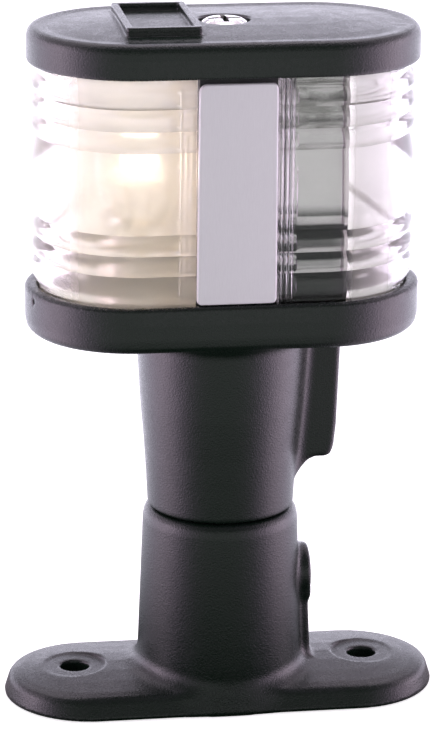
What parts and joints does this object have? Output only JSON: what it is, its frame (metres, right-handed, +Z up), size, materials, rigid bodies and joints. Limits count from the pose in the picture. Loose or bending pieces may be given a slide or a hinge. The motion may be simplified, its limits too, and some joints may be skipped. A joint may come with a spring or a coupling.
{
  "type": "boat navigation light",
  "caption": "Boat navigation light on a pedestal: clear ribbed lens with two lamp sectors between a tray and a screwed cap, turning in a clamped base socket.",
  "frame": {"origin": "centre of the mounting base's underside", "axes": "+Z up through the pedestal, +X along the base towards the clamp screw and the lens half with the cut-off shield, -Y to the front plate"},
  "size_m": [0.085, 0.0402, 0.1345],
  "materials": {
    "black_polymer": "fine grained moulded black polymer, semi-matt",
    "clear_lens": "clear moulded acrylic, glossy",
    "lamp_glass": "clear thin lamp glass",
    "white_polymer": "off-white moulded polymer, satin",
    "satin_plate": "satin metal cover plate",
    "bright_sheet": "bright rolled sheet metal",
    "stainless": "stainless fastener",
    "brass": "machined and stamped brass",
    "phenolic": "brown insulating board",
    "seal_rubber": "black sealing rubber",
    "filament": "lamp mount and coiled filament"
  },
  "bodies": {
    "base": {"mounting_base": "black_polymer", "clamp_insert": "brass"},
    "clamp_washer": {"clamp_washer": "stainless"},
    "clamp_screw": {"clamp_screw": "stainless"},
    "head": {"light_body": "black_polymer", "spigot_seal": "seal_rubber", "cap_screw_insert": "brass", "lens_gasket_lower": "seal_rubber", "lens_left": "clear_lens", "lens_right": "clear_lens", "partition": "white_polymer", "front_plate": "satin_plate", "back_plate": "satin_plate", "sector_shield": "bright_sheet", "lamp_bracket": "brass", "bracket_screw_left": "stainless", "bracket_screw_right": "stainless", "socket_shell_left": "bright_sheet", "socket_shell_right": "bright_sheet", "socket_insulator_left": "phenolic", "socket_insulator_right": "phenolic"},
    "lamp_left": {"lamp_base_left": "brass", "lamp_glass_left": "lamp_glass", "lamp_filament_left": "filament"},
    "lamp_right": {"lamp_base_right": "brass", "lamp_glass_right": "lamp_glass", "lamp_filament_right": "filament"},
    "contact_left": {"contact_left": "brass"},
    "contact_right": {"contact_right": "brass"},
    "cap": {"cap": "black_polymer", "lens_gasket_upper": "seal_rubber"},
    "cap_washer": {"cap_washer": "seal_rubber"},
    "cap_screw": {"cap_screw": "stainless"}
  },
  "joints": [
    {"name": "head_swivel", "type": "hinge", "parent": "base", "child": "head", "pos_m": [0, 0, 0.038], "axis": [0, 0, 1], "range_deg": [-90, 90]},
    {"name": "clamp_travel", "type": "slide", "parent": "base", "child": "clamp_washer", "axis": [1, 0, 0], "range_m": [0, 0.0035]},
    {"name": "clamp_turn", "type": "hinge", "parent": "clamp_washer", "child": "clamp_screw", "pos_m": [0.01585, 0, 0.0233], "axis": [1, 0, 0], "range_deg": [0, 1800]},
    {"name": "cap_lift", "type": "slide", "parent": "head", "child": "cap", "axis": [0, 0, 1], "range_m": [0, 0.065]},
    {"name": "cap_screw_travel", "type": "slide", "parent": "cap", "child": "cap_washer", "axis": [0, 0, 1], "range_m": [0, 0.0063]},
    {"name": "cap_screw_turn", "type": "hinge", "parent": "cap_washer", "child": "cap_screw", "pos_m": [0, 0, 0.13205], "axis": [0, 0, 1], "range_deg": [0, 3240]},
    {"name": "lamp_left_turn", "type": "hinge", "parent": "head", "child": "lamp_left", "pos_m": [-0.016, 0, 0.088], "axis": [0, 0, 1], "range_deg": [0, 20]},
    {"name": "lamp_right_turn", "type": "hinge", "parent": "head", "child": "lamp_right", "pos_m": [0.016, 0, 0.088], "axis": [0, 0, 1], "range_deg": [0, 20]},
    {"name": "contact_left_press", "type": "slide", "parent": "head", "child": "contact_left", "axis": [0, 0, -1], "range_m": [0, 0.001], "stiffness_N_per_m": 150},
    {"name": "contact_right_press", "type": "slide", "parent": "head", "child": "contact_right", "axis": [0, 0, -1], "range_m": [0, 0.001], "stiffness_N_per_m": 150}
  ],
  "couplings": [
    {"joint": "clamp_turn", "follows": "clamp_travel", "rad_per_m": 8976},
    {"joint": "cap_screw_turn", "follows": "cap_screw_travel", "rad_per_m": 8976}
  ]
}
